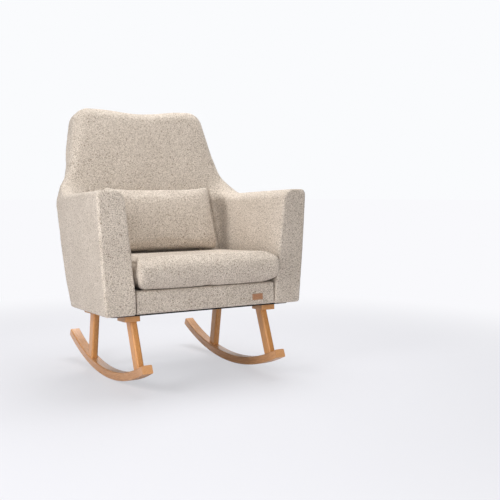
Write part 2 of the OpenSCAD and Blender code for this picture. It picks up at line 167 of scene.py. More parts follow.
def surface_net(field, low, high, cell):
    """A closed quad mesh of the surface field = 0, on a cubic grid, moved onto the surface."""
    low, high = np.array(low, float), np.array(high, float)
    size = np.ceil((high - low) / cell).astype(int) + 1
    grid = [low[i] + cell * np.arange(size[i]) for i in range(3)]
    value = np.empty(size, np.float32)
    slab = 12                           # grid layers filled at a time, to save memory
    for i in range(0, size[0], slab):
        x, y, z = np.meshgrid(grid[0][i:i + slab], grid[1], grid[2], indexing="ij")
        value[i:i + slab] = field(x, y, z)
    inside = value < 0

    # one vertex in each cell that the surface crosses, at the mean of its edge crossings
    corners = [(i, j, k) for i in (0, 1) for j in (0, 1) for k in (0, 1)]

    def shifted(corner):
        return inside[tuple(slice(c, n - 1 + c) for c, n in zip(corner, inside.shape))]

    count = sum(shifted(corner).astype(np.int8) for corner in corners)
    active = (count > 0) & (count < 8)
    cells = np.stack(np.nonzero(active), -1)
    number = np.full(active.shape, -1, np.int64)
    number[active] = np.arange(len(cells))
    total, hits = np.zeros((len(cells), 3)), np.zeros(len(cells))
    for corner in corners:
        for axis in range(3):
            if corner[axis]:
                continue
            other = list(corner)
            other[axis] = 1
            here = value[tuple((cells + corner).T)].astype(float)
            there = value[tuple((cells + other).T)].astype(float)
            cross = (here < 0) != (there < 0)
            place = np.tile(np.array(corner, float), (len(cells), 1))
            place[:, axis] += np.where(cross, here / np.where(cross, here - there, 1), 0)
            total += place * cross[:, None]
            hits += cross
    points = low + cell * (cells + total / hits[:, None])

    # one quad round each grid edge that the surface crosses
    quads = []
    for axis in range(3):
        order = (axis, (axis + 1) % 3, (axis + 2) % 3)
        first = np.moveaxis(inside, order, (0, 1, 2))
        ids = np.moveaxis(number, order, (0, 1, 2))
        change = first[:-1, 1:-1, 1:-1] != first[1:, 1:-1, 1:-1]
        i, j, k = np.nonzero(change)
        j, k = j + 1, k + 1
        quad = np.stack([ids[i, j - 1, k - 1], ids[i, j, k - 1], ids[i, j, k], ids[i, j - 1, k]], -1)
        outward = first[i, j, k]
        quad[~outward] = quad[~outward][:, ::-1]
        quads.append(quad)

    for _ in range(3):
        step = newton_step(*value_and_slope(field, points))
        length = np.linalg.norm(step, axis=1, keepdims=True)
        points -= step * np.minimum(1, 0.7 * cell / np.maximum(length, 1e-9))
    return points, np.concatenate(quads)


def sharpen(points, field_a, field_b, cell):
    """Moves points near the meeting of two surfaces onto it, so that a cut edge is crisp."""
    near = ((np.abs(field_a(*points.T)) < 0.62 * cell)
            & (np.abs(field_b(*points.T)) < 0.62 * cell))
    start = points[near]
    moved = start
    for _ in range(5):
        for field in (field_a, field_b):
            moved = moved - newton_step(*value_and_slope(field, moved))
    strayed = ~(np.linalg.norm(moved - start, axis=1) < 1.4 * cell)
    moved[strayed] = start[strayed]
    points[near] = moved
    return points


# ---------------------------------------------------------------- mesh helpers
def new_object(name, data):
    obj = bpy.data.objects.new(name, data)
    scene.collection.objects.link(obj)
    return obj


def shade_smooth(mesh):
    mesh.polygons.foreach_set("use_smooth", np.full(len(mesh.polygons), True))


def mesh_object(name, points, faces):
    """A smooth-shaded object from points in metres and faces of equal length."""
    mesh = bpy.data.meshes.new(name)
    faces = np.asarray(faces)
    mesh.vertices.add(len(points))
    mesh.vertices.foreach_set("co", points.astype(np.float32).ravel())
    mesh.loops.add(faces.size)
    mesh.loops.foreach_set("vertex_index", faces.astype(np.int32).ravel())
    mesh.polygons.add(len(faces))
    starts = np.arange(len(faces)) * faces.shape[1]
    mesh.polygons.foreach_set("loop_start", starts.astype(np.int32))
    mesh.update(calc_edges=True)
    mesh.validate()
    shade_smooth(mesh)
    mesh.update()
    return new_object(name, mesh)


def read_vectors(mesh, attribute):
    values = np.empty(len(mesh.vertices) * 3, np.float32)
    mesh.vertices.foreach_get(attribute, values)
    return values.reshape(-1, 3).astype(float)


def get_co(obj):
    return read_vectors(obj.data, "co")


def set_co(obj, co):
    obj.data.vertices.foreach_set("co", co.astype(np.float32).ravel())
    obj.data.update()


def normals_of(obj):
    return read_vectors(obj.data, "normal")


def hash3(i, j, k, salt):
    """A fixed random value between 0 and 1 for each grid cell."""
    n = (i * 73856093) ^ (j * 19349663) ^ (k * 83492791) ^ (salt * 2654435761)
    n = (n ^ (n >> 13)) * 1274126177
    n = n & 0x7fffffff
    return ((n ^ (n >> 16)) & 0xffff) / 65535.0


def value_noise(points, size, salt):
    """Smooth random values between -1 and 1 with the given cell size."""
    scaled = points / size
    cell = np.floor(scaled).astype(np.int64)
    t = scaled - cell
    t = t * t * (3 - 2 * t)
    out = 0
    for i in (0, 1):
        for j in (0, 1):
            for k in (0, 1):
                weight = ((t[:, 0] if i else 1 - t[:, 0]) * (t[:, 1] if j else 1 - t[:, 1])
                          * (t[:, 2] if k else 1 - t[:, 2]))
                out = out + weight * hash3(cell[:, 0] + i, cell[:, 1] + j, cell[:, 2] + k, salt)
    return out * 2 - 1


def nubs(obj, amount, size=6.5):
    """The fabric's loops and slower hollows, pushed into the mesh itself."""
    co = get_co(obj)
    points = co / MM
    loops = value_noise(points, size, salt=3) * amount
    hollows = value_noise(points, size * 4.5, salt=5) * amount * 0.9
    set_co(obj, co + normals_of(obj) * ((loops + hollows) * MM)[:, None])


def smooth_mesh(obj, rounds, factor=0.5):
    """Moves each point part of the way to the mean of its neighbours."""
    count = len(obj.data.vertices)
    edges = np.empty(len(obj.data.edges) * 2, np.int32)
    obj.data.edges.foreach_get("vertices", edges)
    start, end = edges.reshape(-1, 2).T
    co = get_co(obj)
    degree = np.bincount(edges, minlength=count).astype(float)[:, None]
    for _ in range(rounds):
        total = np.zeros_like(co)
        for a in range(3):
            total[:, a] = (np.bincount(start, co[end, a], count)
                           + np.bincount(end, co[start, a], count))
        co = co + (total / np.maximum(degree, 1) - co) * factor
    set_co(obj, co)


def subdivide(obj):
    """Applies one level of subdivision."""
    modifier = obj.modifiers.new("Subdivision", "SUBSURF")
    modifier.levels = modifier.render_levels = 1
    depsgraph = bpy.context.evaluated_depsgraph_get()
    mesh = bpy.data.meshes.new_from_object(obj.evaluated_get(depsgraph))
    obj.modifiers.clear()
    old = obj.data
    obj.data = mesh
    bpy.data.meshes.remove(old)
    mesh.name = obj.name
    shade_smooth(mesh)


def keep_inside(obj, field, slack):
    """Moves any point more than the slack outside the field's surface back to it."""
    points = get_co(obj) / MM
    for _ in range(3):
        value, slope = value_and_slope(field, points)
        points -= newton_step(np.maximum(value - slack, 0), slope, floor=0.2)
    set_co(obj, points * MM)


def fill_cover(obj, pressure, tension, bending, cap, frames=20):
    """Lets the piece fill like a stuffed cover, each point moving no further than the cap (m)."""
    rest = get_co(obj)
    modifier = obj.modifiers.new("Cloth", "CLOTH")
    settings = modifier.settings
    settings.quality = 5
    settings.mass = 0.3
    settings.tension_stiffness = settings.compression_stiffness = tension
    settings.shear_stiffness = tension * 0.5
    settings.bending_stiffness = bending
    settings.use_pressure = True
    settings.uniform_pressure_force = pressure
    settings.shrink_min = 0.0
    settings.effector_weights.gravity = 0
    settings.air_damping = 2.0
    modifier.collision_settings.use_self_collision = False
    modifier.point_cache.frame_start, modifier.point_cache.frame_end = 1, frames
    scene.frame_start, scene.frame_end = 1, frames
    for number in range(1, frames + 1):
        scene.frame_set(number)
    depsgraph = bpy.context.evaluated_depsgraph_get()
    co = read_vectors(obj.evaluated_get(depsgraph).data, "co")
    obj.modifiers.remove(modifier)
    scene.frame_set(1)
    # guards against a simulation that has blown up
    if not np.isfinite(co).all():
        co = rest
    move = co - rest
    length = np.linalg.norm(move, axis=1, keepdims=True)
    set_co(obj, rest + move * np.minimum(1, cap / np.maximum(length, 1e-9)))


# ---------------------------------------------------------------- upholstered body
def back_form(x, y, z):
    across = np.abs(x)
    behind, along = to_back(y, z)
    level = PIVOT_Z + along * COS_LEAN
    # the sides turn in or out from front to rear by this slope
    turn = np.interp(level, [600, 650, 700, 760], [-0.22, -0.22, -0.05, 0.07])
    half_width = np.interp(level, BACK_Z, BACK_HALF_WIDTH) + turn * behind
    side = (across - half_width) * 0.985
    dip_angle = np.minimum(90, across * 90 / CREST_DIP_REACH) * math.pi / 180
    crest_z = CREST_Z - CREST_DIP * np.cos(dip_angle) ** 2
    top = along - (crest_z - PIVOT_Z) / COS_LEAN
    bottom = (BACK_BOTTOM_Z - PIVOT_Z) / COS_LEAN - along
    rim = round_max(side, top, radius=48.0)
    rim = round_max(rim, bottom, radius=12.0)
    off_centre = np.clip(across / 300, 0, 1)
    crown = 5.0 * (1 - off_centre * off_centre) * rise(level, 480, 120) * fall(level, 935, 120)
    front = -behind - (BACK_FRONT + crown)
    form = round_max(rim, front, radius=34 + 8 * rise(level, 700, 150))
    form = round_max(form, behind - BACK_REAR, radius=24.0)
    # sewn line of the rear panel, 26 mm in from the sides and the crest
    inset = np.abs(np.minimum(-side, -top) - 26)
    return form + 3.2 * bell(inset, 3.6) * rise(behind, 40, 6)


def arm_outer_x(y, z):
    """The arm's outer face: it flares upwards and draws in towards the rear."""
    return ARM_OUTER_X + 0.0622 * (z - BASE_Z) - 27 * (y - FRONT_Y) / 485


def arm_form(x, y, z):
    across = np.abs(x)
    up = np.clip((z - BASE_Z) / (ARM_TOP_Z - BASE_Z), 0, 1)
    outer = across - arm_outer_x(y, z) - 1.5 * np.sin(up * math.pi)
    # the inner face is upright below, then bends outwards over 40 mm of height
    t = z - 325
    bend = np.where(t > 20, t, np.where(t < -20, 0, (t + 20) ** 2 / 80))
    along = np.clip((y - FRONT_Y) / 400, 0, 1)
    bulge = 2.2 * np.sin(along * math.pi) * rise(z, 400, 80)
    inner = ARM_INNER_X + 0.12 * bend + 1.2 - bulge - across
    top = z - (ARM_TOP_Z - 0.05 * (y - FRONT_Y))
    bottom = (BASE_Z - 0.0524 * (y - FRONT_Y)) - z
    front = FRONT_Y - y
    behind, _ = to_back(y, z)
    rear = behind - np.interp(z, ARM_REAR_Z, ARM_REAR)
    low = 1 - rise(z, 300, 60)
    form = round_max(outer, top, radius=20.0)
    form = round_max(form, inner, radius=34 * (1 - low) + 3.0 * low)
    form = round_max(form, front, radius=9.0)
    form = round_max(form, bottom, radius=8.0)
    form = round_max(form, rear, radius=22.0)
    # sewn edge between the arm's front panel and its outer side
    seam = np.sqrt((outer + 4) ** 2 + (front + 4) ** 2)
    return form + 1.6 * bell(seam, 3.0)


def crease_x(z):
    """Where the arm's inner side meets the backrest's front."""
    return 262.5 - np.where(z > PIVOT_Z, 0.1, -0.12) * (z - PIVOT_Z)


def body(x, y, z):
    across = np.abs(x)
    behind, _ = to_back(y, z)
    reach = np.maximum(5 + 55 * rise(z, 430, 190), 20 * rise(across, 290, 30))
    reach = reach + 34 * rise(z, 560, 60)
    form = soft_min(arm_form(x, y, z), back_form(x, y, z), reach)
    # the wing's outer face goes no further out than the arm's, and follows the backrest's side
    limit = arm_outer_x(y, np.minimum(z, 600)) + 1.6
    limit = limit - 0.30 * np.clip(z - 606, 0, 400)
    limit = np.where(y < 60, NO_LIMIT, limit)
    form = np.maximum(form, across - limit)
    # the wing's rear corner is drawn in where it runs down into the arm
    corner = 0.864 * across + 0.503 * y - np.interp(z, WING_Z, WING_REACH) - 1.5
    form = round_max(form, corner, radius=8.0)
    fade = rise(z, 300, 30) * fall(z, 668, 60) * rise(-behind, 15, 12)
    return form + 5.2 * bell(across - crease_x(z), 4.2) * fade


def arm_zone(x, y, z):
    """Negative where the cloth belongs to an arm's cover, positive on the backrest's."""
    across = np.abs(x)
    behind, _ = to_back(y, z)
    top = z - 742 + 0.5 * np.maximum(across - 250, 0)
    return np.maximum(np.maximum(behind - 6, crease_x(z) - across), top)


def arm_cut(x, y, z):
    return arm_zone(x, y, z) + COVER_GAP


def back_cut(x, y, z):
    return COVER_GAP - arm_zone(x, y, z)


def body_part(cut, low, high, cell):
    """The points and quads of the body's share on one side of a cut."""
    def part(x, y, z):
        return np.maximum(body(x, y, z), cut(x, y, z))

    points, quads = surface_net(part, low, high, cell)
    return sharpen(points, body, cut, cell), quads


def border_form(x, y, z):
    """The padded border under the seat cushion, between the arms."""
    back, up = to_base(y, z)
    bulge = 2.0 * np.sin(np.clip((up - 1) / 75, 0, 1) * math.pi)
    front = 4.4 - bulge - back
    form = round_max(round_max(up - 76.2, 1.5 - up, radius=6.0), front, radius=8.0)
    form = round_max(form, back - 16.4, radius=1.5)
    return round_max(form, np.abs(x) - 250.4, radius=3.5)


points, quads = body_part(arm_cut, (200, -312, 215), (390, 262, 770), 2.9)
arm_left = mesh_object("arm_upholstery_left", points * MM, quads)
mirrored = points * np.array([-1.0, 1, 1])
arm_right = mesh_object("arm_upholstery_right", mirrored * MM, quads[:, ::-1])
points, quads = body_part(back_cut, (-375, 40, 205), (375, 400, 955), 3.3)
back_part = mesh_object("back_upholstery", points * MM, quads)
points, quads = surface_net(border_form, (-262, -310, 225), (262, -250, 345),
                            2.8)
border = mesh_object("front_border_upholstery", points * MM, quads)
for obj in (arm_left, arm_right, back_part, border):
    nubs(obj, amount=0.35)
    obj.data.set_sharp_from_angle(angle=math.radians(52))


# ---------------------------------------------------------------- seat cushion
def cushion_form(x, y, z):
    """Full bullnose front, boxed back, rounded ends."""
    back, up = to_base(y, z)
    half = CUSHION_THICK / 2
    plate = np.maximum(up - (CUSHION_LOW + CUSHION_THICK), CUSHION_LOW - up)
    end = np.abs(x) - (CUSHION_HALF_WIDTH - 5.5 * fall(up, CUSHION_MID, half))
    form = round_max(plate, CUSHION_FRONT - back, radius=half - 3)
    form = round_max(form, back - CUSHION_REAR, radius=16.0)
    return round_max(form, end, radius=17.0)


def base_coords(co):
    x, y, z = (co / MM).T
    return (x, *to_base(y, z))


def sew_cushion(obj):
    """Sewn lines of the boxed border at the ends and rear, and a shallow sag in the top."""
    co = get_co(obj)
    x, back, up = base_coords(co)
    seam_offset = 33                    # of each sewn line above or below mid-thickness
    band = np.clip(rise(np.abs(x), 205, 25) + rise(back, 335, 20), 0, 1)
    seam = np.minimum(np.abs(up - (CUSHION_MID + seam_offset)),
                      np.abs(up - (CUSHION_MID - seam_offset)))
    depth = 1.9 * bell(seam, 3.2) * band * rise(back, -8, 40)
    ripple = 0.8 * np.sin(back / 23.0 + x / 41.0) * bell(seam, 9) * band
    sag = 1.8 * np.exp(-(((x + 10) / 150) ** 2 + ((back - 170) / 120) ** 2))
    sag = sag * rise(up - CUSHION_MID, 30, 15)
    co = co - normals_of(obj) * ((depth + ripple) * MM)[:, None]
    co[:, 2] -= sag * MM
    set_co(obj, co)


def spread_bullnose(obj):
    """Ahead of the arms nothing holds the cushion in: it spreads more on the left (+X)."""
    co = get_co(obj)
    x, back, _ = base_coords(co)
    spread = 11 * rise(x, 120, 130) - 1.5 * rise(-x, 120, 130)
    co[:, 0] += spread * fall(back, 2, 22) * MM
    set_co(obj, co)


def build_cushion():
    def unfilled(x, y, z):
        return cushion_form(x, y, z) + 6.0

    points, quads = surface_net(unfilled, (-262, -352, 296), (262, 100, 452),
                                5.5)
    obj = mesh_object("seat_cushion", points * MM, quads)
    fill_cover(obj, pressure=4.0, tension=20, bending=0.8, cap=0.009)
    smooth_mesh(obj, rounds=2)
    subdivide(obj)
    sew_cushion(obj)
    keep_inside(obj, cushion_form, slack=0.6)
    spread_bullnose(obj)
    nubs(obj, amount=0.35)
    return obj


cushion = build_cushion()


# ---------------------------------------------------------------- lumbar cushion
def to_pillow(co, centre=PILLOW_CENTRE):
    """Distance across, through (rearwards) and up the leaning pillow, in millimetres."""
    x, y, z = (co / MM - centre).T
    c, s = math.cos(PILLOW_LEAN), math.sin(PILLOW_LEAN)
    return x, y * c - z * s, y * s + z * c


def from_pillow(across, through, up, centre=PILLOW_CENTRE):
    c, s = math.cos(PILLOW_LEAN), math.sin(PILLOW_LEAN)
    points = np.stack([across, through * c + up * s, -through * s + up * c], -1)
    return points * MM + centre * MM


def pillow_outline(part_across, part_up):
    """A point of the -1..1 square on the outline's shape: small radii above, larger below."""
    x, up = part_across * PILLOW_HALF_WIDTH, part_up * PILLOW_HALF_HEIGHT
    radius = PILLOW_LOW_RADIUS if part_up < 0 else PILLOW_TOP_RADIUS
    centre_x, centre_up = PILLOW_HALF_WIDTH - radius, PILLOW_HALF_HEIGHT - radius
    dx, dup = (abs(x) - centre_x) / radius, (abs(up) - centre_up) / radius
    if dx > 0 and dup > 0:
        pull = max(dx, dup) / math.hypot(dx, dup)
        x = math.copysign(centre_x + dx * pull * radius, x)
        up = math.copysign(centre_up + dup * pull * radius, up)
    return x, up


def pillow_sheets(name, columns, rows, start_thick=36):
    """Two sheets sewn together round the edge, slightly apart, ready to be filled."""
    index, points, faces = {}, [], []
    for side in (1, -1):
        for i in range(columns + 1):
            for j in range(rows + 1):
                edge = i in (0, columns) or j in (0, rows)
                if edge and side == -1:
                    continue
                across, up = 2 * i / columns - 1, 2 * j / rows - 1
                x, h = pillow_outline(across, up)
                lifted = up + 0.12 * (1 - up * up)
                power = 3.2 if lifted > 0 else 6.5
                through = 0
                if not edge:
                    through = side * start_thick * math.sqrt(
                        (1 - abs(across) ** 5) * (1 - abs(lifted) ** power))
                index[(side, i, j)] = len(points)
                points.append((x, through, h))

    def vertex(side, i, j):
        return index.get((side, i, j), index.get((1, i, j)))

    for side in (1, -1):
        for i in range(columns):
            for j in range(rows):
                quad = [vertex(side, i, j), vertex(side, i + 1, j),
                        vertex(side, i + 1, j + 1), vertex(side, i, j + 1)]
                faces.append(quad if side == -1 else quad[::-1])
    return mesh_object(name, from_pillow(*np.array(points).T), faces)


def size_pillow(obj):
    x, through, up = to_pillow(get_co(obj))
    x = x * (PILLOW_HALF_WIDTH / np.abs(x).max())
    up = up * (PILLOW_HALF_HEIGHT / np.abs(up).max())
    through = through * (PILLOW_HALF_THICK / np.abs(through).max())
    set_co(obj, from_pillow(x, through, up))


def settle_pillow(obj):
    """Stitched hollow beside the edge seam, and flats where the cushion leans and rests."""
    x, _, up = to_pillow(get_co(obj))
    radius = PILLOW_LOW_RADIUS
    edge = np.minimum(PILLOW_HALF_WIDTH - np.abs(x), PILLOW_HALF_HEIGHT - np.abs(up))
    corner = radius - np.hypot(np.maximum(np.abs(x) - PILLOW_HALF_WIDTH + radius, 0),
                               np.maximum(-up - PILLOW_HALF_HEIGHT + radius, 0))
    edge = np.where(up < 0, np.minimum(edge, corner), edge)
    hollow = 1.2 * bell(edge - 8, 3.0)
    pucker = 0.7 * np.sin((x + up * 0.7) / 7.5) * bell(edge - 10, 9)
    points = (get_co(obj) - normals_of(obj) * ((hollow + pucker) * MM)[:, None]) / MM
    # its weight spreads the lower half
    points[:, 0] *= 1 + 0.04 * fall(up, 30, PILLOW_HALF_HEIGHT + 30)
    # it leans on the backrest
    over = points[:, 1] - (113.5 + 0.2545 * (points[:, 2] - PIVOT_Z) - 3.5)
    points[:, 1] -= np.where(over > 0, over * 0.96, 0)
    # it rests on the seat cushion
    back, height = to_base(points[:, 1], points[:, 2])
    under = (CUSHION_LOW + CUSHION_THICK + 1.8) - height
    height = height + np.where(under > 0, under * 0.99, 0)
    set_co(obj, from_base(points[:, 0], back, height) * MM)


def cut_zip_channel(obj):
    """A channel along the bottom seam, so that the zip and its slider lie open in it."""
    x, through, up = to_pillow(get_co(obj), ZIP_CENTRE)
    roof = np.where((through > 0) & (through < 20), -117.6, -NO_LIMIT)
    roof = np.where(np.abs(through) < 11, -115.2, roof)
    roof = np.where(np.abs(through) < 3, -113.2, roof)
    roof = np.where(np.abs(x) < 156, roof, -NO_LIMIT)
    set_co(obj, from_pillow(x, through, np.where(up < roof, roof, up), ZIP_CENTRE))


def build_pillow():
    obj = pillow_sheets("lumbar_cushion_pillow", columns=60, rows=36)
    fill_cover(obj, pressure=4.5, tension=10, bending=0.2, cap=0.011)
    size_pillow(obj)
    smooth_mesh(obj, rounds=2, factor=0.4)
    subdivide(obj)
    subdivide(obj)
    settle_pillow(obj)
    nubs(obj, amount=0.3)
    cut_zip_channel(obj)
    return obj


pillow = build_pillow()


# ---------------------------------------------------------------- dust cover
def build_dust_cover():
    """The CAD sheet with its corners drawn in under the rounded covers."""
    source = cad_nodes["dust_cover"]
    obj = new_object("dust_cover_cloth", source.data.copy())
    obj.matrix_world = source.matrix_world.copy()
    matrix = np.array(source.matrix_world)
    turn, shift = matrix[:3, :3], matrix[:3, 3]
    co = get_co(obj)
    x, back, up = base_coords(co @ turn.T + shift)
    for (old_x, old_back), (new_x, new_back) in zip(DUST_OUT, DUST_IN):
        hit = np.hypot(x - old_x, back - old_back) < 1.5
        count = hit.sum()
        target = from_base(np.full(count, float(new_x)), np.full(count, float(new_back)), up[hit])
        co[hit] = (target * MM - shift) @ np.linalg.inv(turn).T
    set_co(obj, co)
    return obj


dust = build_dust_cover()


# ---------------------------------------------------------------- fabric tab
def rounded_plate(name, width, height, thick, radius, steps=6):
    """An upright plate in the XZ plane with its thickness towards +Y."""
    outline = []
    dx, dz = width / 2 - radius, height / 2 - radius
    for cx, cz, start in ((dx, dz, 0), (-dx, dz, 90), (-dx, -dz, 180), (dx, -dz, 270)):
        for i in range(steps + 1):
            angle = math.radians(start + 90 * i / steps)
            outline.append((cx + radius * math.cos(angle), cz + radius * math.sin(angle)))
    n = len(outline)
    verts = [(x * MM, y * MM, z * MM) for y in (0, thick) for x, z in outline]
    faces = [list(range(n)), list(range(2 * n - 1, n - 1, -1))]
    faces += [[i, i + n, (i + 1) % n + n, (i + 1) % n] for i in range(n)]
    mesh = bpy.data.meshes.new(name)
    mesh.from_pydata(verts, [], faces)
    mesh.update()
    return new_object(name, mesh)


def stitch_run(name, line, radius, length, pitch, up, sides=6, rings=5):
    """Short raised stitches along a line of points, all in one mesh."""
    line = np.array(line, float)
    run = np.concatenate([[0], np.cumsum(np.linalg.norm(np.diff(line, axis=0), axis=1))])

    def point_at(distance):
        return np.array([np.interp(distance, run, line[:, i]) for i in range(3)])

    verts, faces = [], []
    for centre in np.arange(pitch / 2, run[-1], pitch):
        base = len(verts)
        for part in np.linspace(-0.5, 0.5, rings):
            distance = centre + part * length
            point = point_at(distance)
            axis = point_at(distance + 0.3) - point
            axis = axis / np.linalg.norm(axis)
            normal = np.array(up, float) - axis * np.dot(up, axis)
            normal /= np.linalg.norm(normal)
            across = np.cross(axis, normal)
            ring_radius = radius * math.sqrt(max(0.02, 1 - (2 * part) ** 2 * 0.98))
            for a in np.linspace(0, 2 * math.pi, sides, endpoint=False):
                offset = (normal * math.cos(a) + across * math.sin(a)) * ring_radius
                verts.append(tuple((point + offset) * MM))
        for i in range(rings - 1):
            here, there = base + i * sides, base + (i + 1) * sides
            for j in range(sides):
                k = (j + 1) % sides
                faces.append([here + j, there + j, there + k, here + k])
        faces.append([base + j for j in range(sides)])
        faces.append([base + (rings - 1) * sides + j for j in range(sides - 1, -1, -1)])
    mesh = bpy.data.meshes.new(name)
    mesh.from_pydata(verts, [], faces)
    mesh.update()
    shade_smooth(mesh)
    return new_object(name, mesh)


def build_tab():
    obj = rounded_plate("fabric_tab", TAB_WIDTH, TAB_HEIGHT, TAB_THICK, TAB_RADIUS)
    place = Vector(from_base(TAB_X, 1.1, TAB_UP) * MM)
    obj.matrix_world = Matrix.Translation(place) @ Matrix.Rotation(-TILT, 4, "X")
    bevel = obj.modifiers.new("Bevel", "BEVEL")
    bevel.width = 0.5 * MM
    bevel.segments = 3
    bevel.limit_method = "ANGLE"
    return obj


def build_tab_stitches():
    """Stitches in a rectangle on the tab's front face."""
    signs = [(-1, -1), (1, -1), (1, 1), (-1, 1), (-1, -1)]
    line = [from_base(TAB_X + i * STITCH_HALF_WIDTH, 0.95, TAB_UP + j * STITCH_HALF_HEIGHT)
            for i, j in signs]
    return stitch_run("fabric_tab_stitches", line, radius=0.32, length=2.2, pitch=3.1,
                      up=(0, -1, 0))


tab = build_tab()
tab_stitches = build_tab_stitches()


# ---------------------------------------------------------------- material helpers
BLACK, WHITE = (0, 0, 0, 1), (1, 1, 1, 1)


def linear(rgb, factor=1):
    """A colour given as 0-255 display values, times a factor, as linear light."""
    def channel(c):
        return c / 12.92 if c <= 0.04045 else ((c + 0.055) / 1.055) ** 2.4

    return tuple(channel(min(255, v * factor) / 255) for v in rgb) + (1,)


class Nodes:
    """A new material with one surface shader, and short ways to add nodes to it.

    Any value may be a number, a tuple or another node's output socket.
    """

    def __init__(self, name):
        self.material = bpy.data.materials.new(name)
        self.material.use_nodes = True
        self.tree = self.material.node_tree
        self.tree.nodes.clear()
        self.output = self.new("OutputMaterial")
        self.shader = self.new("BsdfPrincipled")
        self.link(self.shader.outputs[0], self.output.inputs[0])
        self.co = self.new("TexCoord").outputs["Object"]

    def new(self, kind):
        return self.tree.nodes.new("ShaderNode" + kind)

    def link(self, source, target):
        self.tree.links.new(source, target)

    def put(self, socket, value):
        if isinstance(value, bpy.types.NodeSocket):
            self.link(value, socket)
        else:
            socket.default_value = value

    def surface(self, values):
        for name, value in values.items():
            self.put(self.shader.inputs[name], value)

    def noise(self, vector, scale, detail=3.0, rough=0.5, distort=0.0):
        node = self.new("TexNoise")
        for name, value in (("Vector", vector), ("Scale", scale), ("Detail", detail),
                            ("Roughness", rough), ("Distortion", distort)):
            self.put(node.inputs[name], value)
        return node.outputs[0]

    def voronoi(self, vector, scale, smoothness=None):
        """Distance to the nearest cell point, blended between cells if a smoothness is given."""
        node = self.new("TexVoronoi")
        node.feature = "F1" if smoothness is None else "SMOOTH_F1"
        self.put(node.inputs["Vector"], vector)
        node.inputs["Scale"].default_value = scale
        if smoothness is not None:
            node.inputs["Smoothness"].default_value = smoothness
        return node.outputs["Distance"]

    def calc(self, kind, operation, values, clamp=False):
        node = self.new(kind)
        node.operation = operation
        if clamp:
            node.use_clamp = True
        for socket, value in zip(node.inputs, values):
            self.put(socket, value)
        return node.outputs[0]

    def math(self, operation, *values, clamp=False):
        return self.calc("Math", operation, values, clamp)

    def vmath(self, operation, *values):
        return self.calc("VectorMath", operation, values)

    def add(self, a, b):
        return self.math("ADD", a, b)

    def sub(self, a, b, clamp=False):
        return self.math("SUBTRACT", a, b, clamp=clamp)

    def mul(self, a, b):
        return self.math("MULTIPLY", a, b)

    def vary(self, base, source, amount):
        """The base value plus an amount of the source."""
        return self.add(base, self.mul(source, amount))

    def ramp(self, factor, stops):
        node = self.new("ValToRGB")
        elements = node.color_ramp.elements
        while len(elements) < len(stops):
            elements.new(0.5)
        for element, (position, colour) in zip(elements, stops):
            element.position = position
            element.color = colour
        self.put(node.inputs[0], factor)
        return node.outputs[0]

    def mix(self, factor, a, b, kind="MIX"):
        node = self.new("Mix")
        node.data_type = "RGBA"
        node.blend_type = kind
        for i, value in ((0, factor), (6, a), (7, b)):
            self.put(node.inputs[i], value)
        return node.outputs[2]

    def bump(self, height, strength, distance):
        node = self.new("Bump")
        node.inputs["Strength"].default_value = strength
        node.inputs["Distance"].default_value = distance
        self.put(node.inputs["Height"], height)
        return node.outputs[0]

    def split_co(self):
        node = self.new("SeparateXYZ")
        self.put(node.inputs[0], self.co)
        return node.outputs[:3]

    def combine(self, *values):
        node = self.new("CombineXYZ")
        for socket, value in zip(node.inputs, values):
            self.put(socket, value)
        return node.outputs[0]


# ---------------------------------------------------------------- materials
def boucle(name):
    """Looped wool-look cloth: worm-like loops and knots with darker hollows between, which are
    painted shade, and paler crests, which are painted light.
    """
    light, mid, dark = (235, 224, 211), (203, 190, 176), (148, 133, 117)
    n = Nodes(name)
    warp = n.noise(n.co, scale=110, detail=1).node.outputs[1]
    offset = n.vmath("SCALE", n.vmath("SUBTRACT", warp, (0.5, 0.5, 0.5)))
    offset.node.inputs["Scale"].default_value = 0.004
    warped = n.vmath("ADD", n.co, offset)
    worms = n.noise(warped, scale=215, detail=2.0, rough=0.5, distort=0.7)
    loops = n.sub(1.0, n.mul(n.math("ABSOLUTE", n.sub(worms, 0.5)), 4.2), clamp=True)
    cells = n.voronoi(warped, scale=310, smoothness=0.5)
    knots = n.sub(1.0, n.mul(cells, 1.5), clamp=True)
    fine = n.noise(n.co, scale=900, detail=2.0, rough=0.6)
    height = n.add(n.mul(loops, 0.45), n.mul(knots, 0.55))
    height = n.vary(height, fine, 0.16)
    # painted shade and light: colour follows the loops' height, dark in the hollows and pale on the
    # crests
    tone = n.ramp(height, [(0.22, linear(dark)), (0.50, linear(mid)), (0.82, linear(light))])
    patches = n.ramp(n.noise(n.co, scale=9, detail=3.0, rough=0.55),
                     [(0.35, (0.93, 0.925, 0.92, 1)), (0.65, WHITE)])
    colour = n.mix(1.0, tone, patches, "MULTIPLY")
    # painted shade: creases between the pieces go darker and warmer
    occlusion = n.new("AmbientOcclusion")
    occlusion.inputs["Distance"].default_value = 0.03
    occlusion.samples = 4
    painted_crease_shade = n.ramp(occlusion.outputs["AO"], [(0.15, (0.52, 0.47, 0.42, 1)), (0.75, WHITE)])
    n.surface({
        "Base Color": n.mix(0.7, colour, painted_crease_shade, "MULTIPLY"),
        "Roughness": n.vary(0.86, fine, 0.12),
        "Sheen Weight": 0.25,
        "Sheen Roughness": 0.45,
        "Sheen Tint": linear((255, 247, 240)),
        "Specular IOR Level": 0.15,
        "Normal": n.bump(height, strength=1.0, distance=0.0019)})
    return n.material


